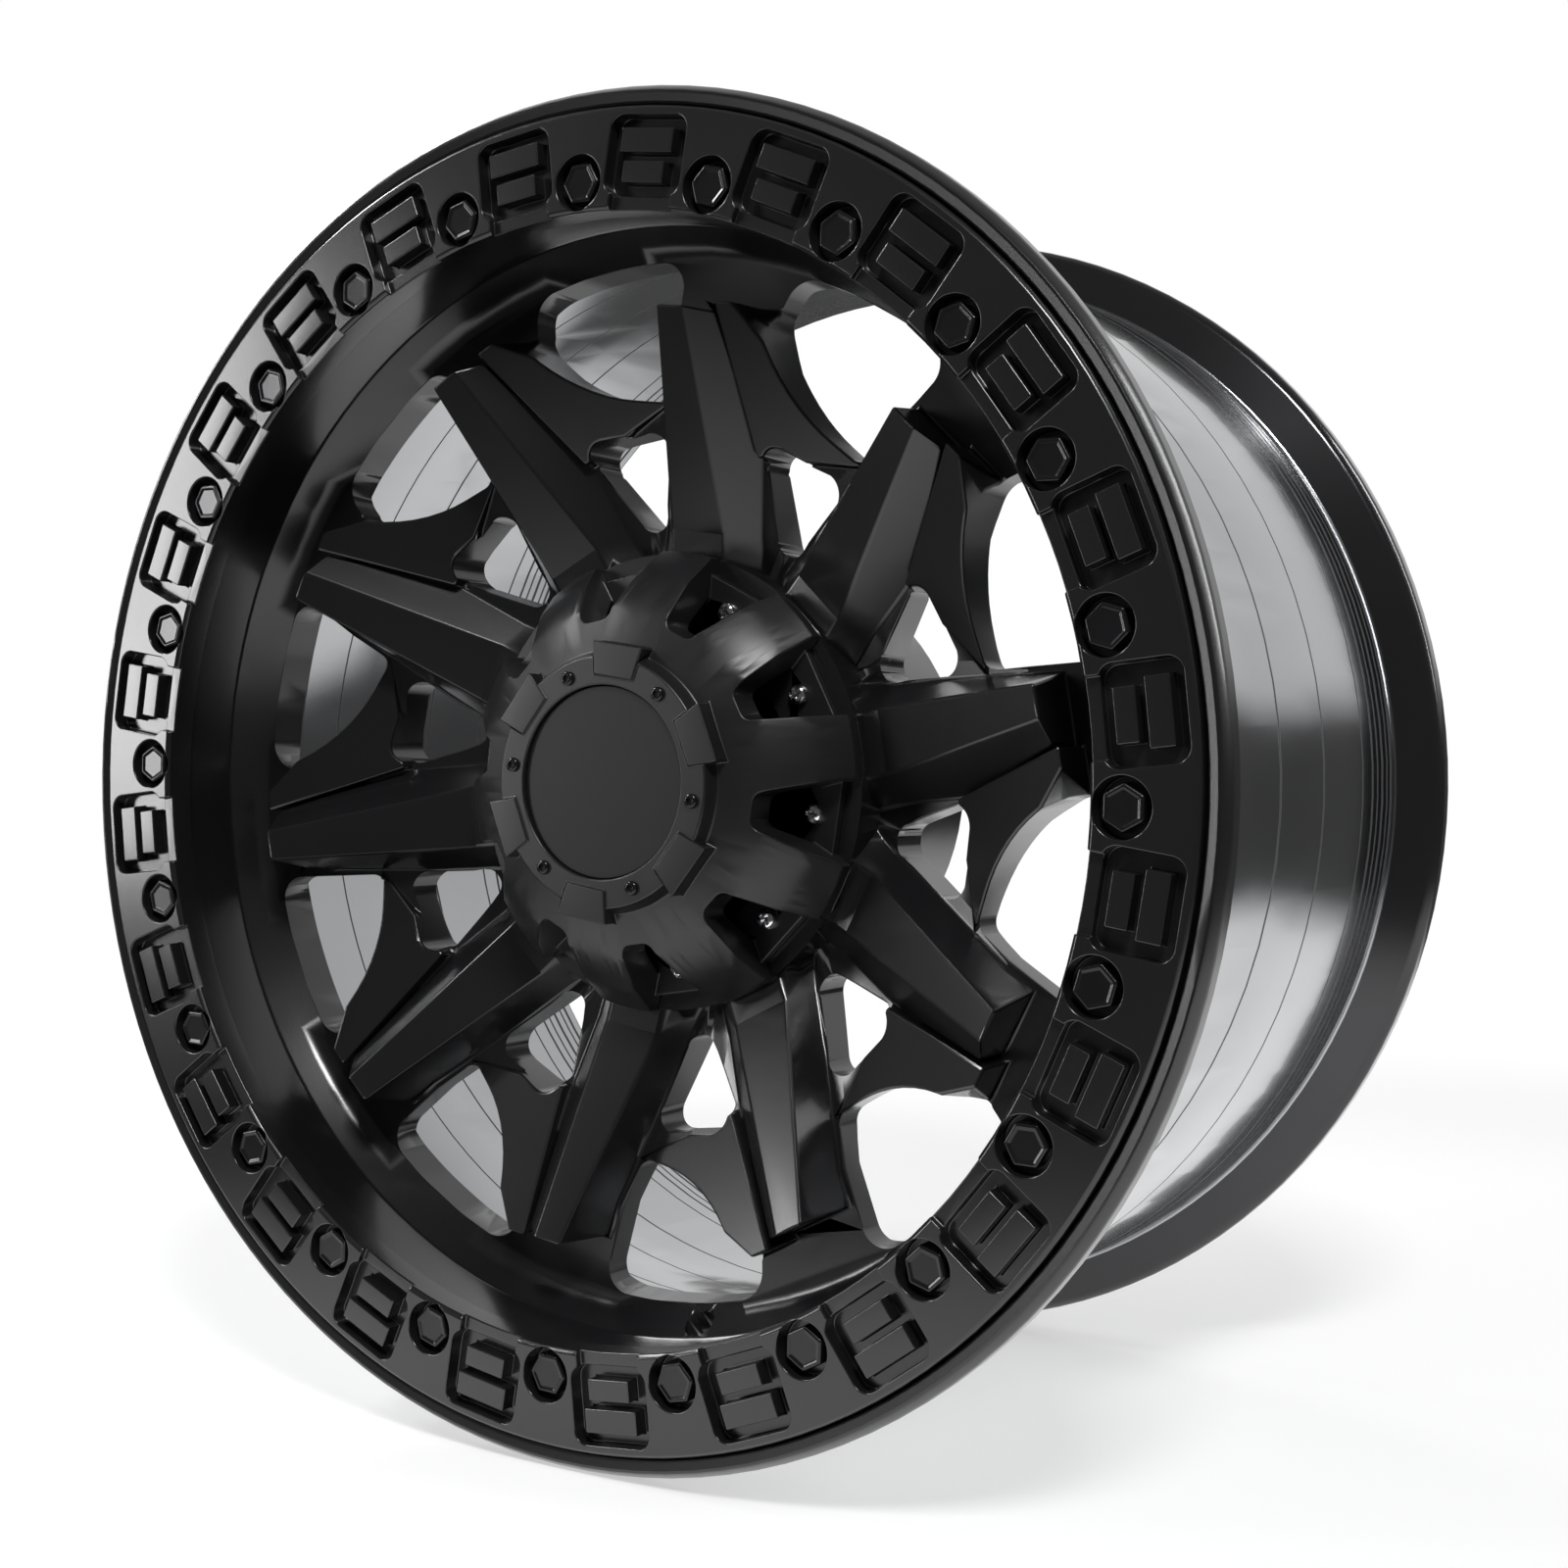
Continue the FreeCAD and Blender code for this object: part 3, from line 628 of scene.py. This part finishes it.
@dataclass
class RoundScrews:
    """A ring of round-head screws with a driver's recess, in millimetres and degrees.

    The dome's steps are an inset in parts of the head's radius and a rise in parts of its height.
    """

    node: str
    name: str
    finish: Finish
    recess: Recess
    count: int
    first: float
    circle_r: float
    seat: float
    head_r: float
    tall: float
    recess_r: float
    recess_deep: float
    straight_part: float = 0.5
    dome_steps: tuple[tuple[float, float], ...] = ((0.12, 0.26), (0.20, 0.16), (0.25, 0.07))
    bar_part: float = 0.5
    edge: float = 0.1
    edge_angle: float = 35.0

    def build(self) -> None:
        """Model one head and copy it round the axle."""
        clear_selection()
        straight = self.tall * self.straight_part
        bpy.ops.mesh.primitive_cylinder_add(
            vertices=HEAD_SIDES, radius=self.head_r * MM, depth=straight * MM,
            rotation=(QUARTER_TURN, 0, 0),
            location=on_circle(self.circle_r, 0, self.seat - straight / 2))
        piece = bpy.context.object
        piece.name = self.name
        bpy.ops.object.transform_apply(location=True, rotation=True, scale=True)
        select_front(piece)
        for inset, rise in self.dome_steps:
            bpy.ops.mesh.inset(thickness=self.head_r * inset * MM, depth=self.tall * rise * MM)
        bpy.ops.object.mode_set(mode="OBJECT")
        for cutter in self._cutters():
            self._cut(piece, cutter)
        soften(piece, self.edge, angle=self.edge_angle)
        repeat_about_axle(piece, self.count, self.first)
        dress(piece, [self.finish], self.node)

    def _cutters(self) -> list[bpy.types.Object]:
        """Return the solids that the recess takes away."""
        front = on_circle(self.circle_r, 0, self.seat - self.tall)
        clear_selection()
        if self.recess is Recess.HEX:
            bpy.ops.mesh.primitive_cylinder_add(
                vertices=HEX_SIDES, radius=self.recess_r * MM, depth=2 * self.recess_deep * MM,
                location=front, rotation=(QUARTER_TURN, 0, 0))
            return [bpy.context.object]
        thick = self.bar_part * self.recess_r
        bar = (2 * self.recess_r * MM, 2 * self.recess_deep * MM, thick * MM)
        bars = []
        for turn in (0.0, QUARTER_TURN):
            bpy.ops.mesh.primitive_cube_add(
                size=1.0, location=front, rotation=(0, turn, 0), scale=bar)
            bars.append(bpy.context.object)
        return bars

    @staticmethod
    def _cut(piece: bpy.types.Object, cutter: bpy.types.Object) -> None:
        """Take one solid away from the head and delete it.

        Args:
            piece: the head.
            cutter: the solid.
        """
        take(piece)
        cut = piece.modifiers.new("recess", "BOOLEAN")
        cut.operation = "DIFFERENCE"
        cut.solver = "EXACT"
        cut.object = cutter
        bpy.ops.object.modifier_apply(modifier=cut.name)
        bpy.data.objects.remove(cutter, do_unlink=True)


@dataclass(frozen=True)
class Softbox:
    """One rectangular lamp: its place, the point that it faces, its sides and its power."""

    name: str
    at: tuple[float, float, float]
    aim: tuple[float, float, float]
    size: tuple[float, float]
    watts: float

    def hang(self) -> None:
        """Add the lamp to the scene."""
        lamp = bpy.data.lights.new(self.name, "AREA")
        lamp.shape = "RECTANGLE"
        lamp.size, lamp.size_y = self.size
        lamp.energy = self.watts
        holder = bpy.data.objects.new(self.name, lamp)
        holder.location = self.at
        towards = Vector(self.aim) - Vector(self.at)
        holder.rotation_euler = towards.to_track_quat("-Z", "Y").to_euler()
        bpy.context.scene.collection.objects.link(holder)


SOFTBOXES = (
    Softbox("front_left", at=(-1.6, -1.3, 0.28), aim=(0, -0.1, 0), size=(0.36, 0.8), watts=12.0),
    Softbox("overhead", at=(0.8, -1.1, 1.4), aim=(0, 0, 0), size=(0.45, 0.35), watts=22.0),
    Softbox("left_strip", at=(-1.3, -0.35, 1.1), aim=(0, -0.1, 0), size=(1.3, 0.12), watts=16.0),
    Softbox("right_strip", at=(1.5, 0.1, 0.9), aim=(0, -0.1, 0), size=(0.12, 1.2), watts=10.0),
    Softbox("behind_left", at=(-1.6, 1.2, 0.9), aim=(0, 0.1, 0), size=(0.8, 0.6), watts=10.0),
)


@dataclass
class Studio:
    """The floor, the world, the lights and the camera, in metres.

    The floor is lit near its middle and fades to white. Its levels, and those of the world,
    are brightness. sky_bands holds a place up the sky and its brightness.
    """

    camera_at: tuple[float, float, float] = (0.4296, -0.6806, 0.0016)
    camera_look: tuple[float, float, float] = (-0.5237, 0.8519, -0.0031)
    lens_mm: float = 46.89
    sensor_mm: float = 36.0
    floor_z: float = -0.2357
    floor_radius: float = 4.0
    floor_sides: int = 96
    floor_middle: tuple[float, float, float] = (0.12, 0.2, 0.0)
    floor_near: float = 0.5
    floor_far: float = 0.95
    floor_base: float = 0.6
    floor_glow: float = 0.5
    floor_mirrored: float = 0.8
    dark_band: float = 0.08
    front_until: float = -0.25
    backdrop_from: float = 0.35
    room_level: float = 0.08
    sky_bands: tuple[tuple[float, float], ...] = (
        (0.0, 0.5), (0.40, 0.6), (0.46, 0.0), (0.545, 0.0), (0.585, 0.9), (0.78, 0.9), (1.0, 0.3))

    def build(self) -> None:
        """Set up the whole studio."""
        self._floor()
        self._world()
        for softbox in SOFTBOXES:
            softbox.hang()
        self._camera()
        bpy.context.scene.view_settings.view_transform = "Standard"

    def _floor(self) -> None:
        """Lay a pale floor that keeps the wheel's shadow."""
        clear_selection()
        bpy.ops.mesh.primitive_circle_add(
            vertices=self.floor_sides, radius=self.floor_radius, fill_type="NGON",
            location=(0, 0, self.floor_z))
        floor = bpy.context.object
        floor.name = "floor"
        material = bpy.data.materials.new("pale_floor")
        material.use_nodes = True
        nodes = material.node_tree.nodes
        links = material.node_tree.links
        shader = nodes["Principled BSDF"]
        shader.inputs["Roughness"].default_value = 1.0
        shader.inputs["Specular IOR Level"].default_value = 0.0
        shader.inputs["Emission Color"].default_value = WHITE
        place = nodes.new("ShaderNodeTexCoord")
        reach = nodes.new("ShaderNodeVectorMath")
        reach.operation = "LENGTH"
        aside = nodes.new("ShaderNodeVectorMath")
        aside.operation = "SUBTRACT"
        aside.inputs[1].default_value = self.floor_middle
        links.new(place.outputs["Object"], aside.inputs[0])
        links.new(aside.outputs["Vector"], reach.inputs[0])
        far = nodes.new("ShaderNodeMapRange")
        far.interpolation_type = "SMOOTHSTEP"
        far.inputs["From Min"].default_value = self.floor_near
        far.inputs["From Max"].default_value = self.floor_far
        links.new(reach.outputs["Value"], far.inputs["Value"])
        colour = nodes.new("ShaderNodeMix")
        colour.data_type = "RGBA"
        colour.inputs["A"].default_value = (*(self.floor_base,) * 3, 1.0)
        colour.inputs["B"].default_value = BLACK
        links.new(far.outputs["Result"], colour.inputs["Factor"])
        links.new(colour.outputs["Result"], shader.inputs["Base Color"])
        seen = nodes.new("ShaderNodeMapRange")
        seen.inputs["To Min"].default_value = self.floor_glow
        links.new(far.outputs["Result"], seen.inputs["Value"])
        mirrored = nodes.new("ShaderNodeMapRange")
        mirrored.inputs["To Min"].default_value = self.floor_mirrored
        mirrored.inputs["To Max"].default_value = self.dark_band
        links.new(far.outputs["Result"], mirrored.inputs["Value"])
        path = nodes.new("ShaderNodeLightPath")
        direct = seen.outputs["Result"]
        image = mirrored.outputs["Result"]
        by_camera = self._product(nodes, links, path.outputs["Is Camera Ray"], direct)
        by_gloss = self._product(nodes, links, path.outputs["Is Glossy Ray"], image)
        by_glass = self._product(nodes, links, path.outputs["Is Transmission Ray"], image)
        by_either = self._total(nodes, links, by_camera, by_gloss)
        glow = self._total(nodes, links, by_either, by_glass)
        links.new(glow, shader.inputs["Emission Strength"])
        floor.data.materials.append(material)

    @staticmethod
    def _product(nodes: bpy.types.Nodes, links: bpy.types.NodeLinks, one: bpy.types.NodeSocket,
                 other: bpy.types.NodeSocket) -> bpy.types.NodeSocket:
        """Multiply two values.

        Args:
            nodes: the nodes of a material or of the world.
            links: the links between them.
            one: a value.
            other: another value.

        Returns:
            The product.
        """
        product = nodes.new("ShaderNodeMath")
        product.operation = "MULTIPLY"
        links.new(one, product.inputs[0])
        links.new(other, product.inputs[1])
        return product.outputs["Value"]

    @staticmethod
    def _total(nodes: bpy.types.Nodes, links: bpy.types.NodeLinks, one: bpy.types.NodeSocket,
               other: bpy.types.NodeSocket) -> bpy.types.NodeSocket:
        """Add two values.

        Args:
            nodes: the nodes of a material or of the world.
            links: the links between them.
            one: a value.
            other: another value.

        Returns:
            The sum.
        """
        total = nodes.new("ShaderNodeMath")
        total.operation = "ADD"
        links.new(one, total.inputs[0])
        links.new(other, total.inputs[1])
        return total.outputs["Value"]

    def _world(self) -> None:
        """Show white behind the wheel, and a banded studio in its reflections and fill."""
        world = bpy.data.worlds.new("studio_world")
        world.use_nodes = True
        nodes = world.node_tree.nodes
        links = world.node_tree.links
        back = nodes["Background"]
        place = nodes.new("ShaderNodeTexCoord")
        split = nodes.new("ShaderNodeSeparateXYZ")
        links.new(place.outputs["Generated"], split.inputs["Vector"])
        height = nodes.new("ShaderNodeMapRange")
        height.inputs["From Min"].default_value = -1.0
        links.new(split.outputs["Z"], height.inputs["Value"])
        bands = nodes.new("ShaderNodeValToRGB")
        while len(bands.color_ramp.elements) < len(self.sky_bands):
            bands.color_ramp.elements.new(0.5)
        for element, (spot, level) in zip(bands.color_ramp.elements, self.sky_bands):
            element.position = spot
            element.color = (level, level, level, 1.0)
        links.new(height.outputs["Result"], bands.inputs["Fac"])
        behind = nodes.new("ShaderNodeMapRange")
        behind.interpolation_type = "SMOOTHSTEP"
        behind.inputs["From Min"].default_value = self.front_until
        behind.inputs["From Max"].default_value = self.backdrop_from
        links.new(split.outputs["Y"], behind.inputs["Value"])
        backdrop = self._product(
            nodes, links, behind.outputs["Result"], bands.outputs["Color"])
        path = nodes.new("ShaderNodeLightPath")
        mirror = self._total(
            nodes, links, path.outputs["Is Glossy Ray"], path.outputs["Is Transmission Ray"])
        mirrored = self._product(nodes, links, mirror, backdrop)
        shown = self._total(nodes, links, path.outputs["Is Camera Ray"], mirrored)
        colour = nodes.new("ShaderNodeMix")
        colour.data_type = "RGBA"
        colour.clamp_factor = True
        colour.inputs["A"].default_value = (*(self.room_level,) * 3, 1.0)
        colour.inputs["B"].default_value = WHITE
        links.new(shown, colour.inputs["Factor"])
        links.new(colour.outputs["Result"], back.inputs["Color"])
        bpy.context.scene.world = world

    def _camera(self) -> None:
        """Stand the camera at the photograph's viewpoint."""
        data = bpy.data.cameras.new("camera")
        data.sensor_width = self.sensor_mm
        data.lens = self.lens_mm
        camera = bpy.data.objects.new("camera", data)
        camera.location = self.camera_at
        towards = Vector(self.camera_look)
        camera.rotation_euler = towards.to_track_quat("-Z", "Y").to_euler()
        bpy.context.scene.collection.objects.link(camera)
        bpy.context.scene.camera = camera


def main() -> None:
    """Build every piece, then the studio."""
    logging.basicConfig(level=logging.INFO, format="%(name)s %(message)s")
    Casting().build()
    LipRing().build()
    HexBolt().build()
    CentreCap().build()
    RoundScrews(
        node="cap_screws", name="pan_screws", finish=CHROME, recess=Recess.CROSS,
        count=CAP_SCREWS, first=CAP_SCREW_PHASE, circle_r=68.0, seat=57.0, head_r=3.7,
        tall=3.2, recess_r=2.2, recess_deep=1.2).build()
    RoundScrews(
        node="collar_screws", name="socket_screws", finish=BOLT_BLACK, recess=Recess.HEX,
        count=COLLAR_SCREWS, first=COLLAR_SCREW_PHASE, circle_r=39.2, seat=21.8, head_r=2.5,
        tall=1.4, recess_r=1.4, recess_deep=0.8).build()
    Studio().build()


if __name__ == "__main__":
    main()
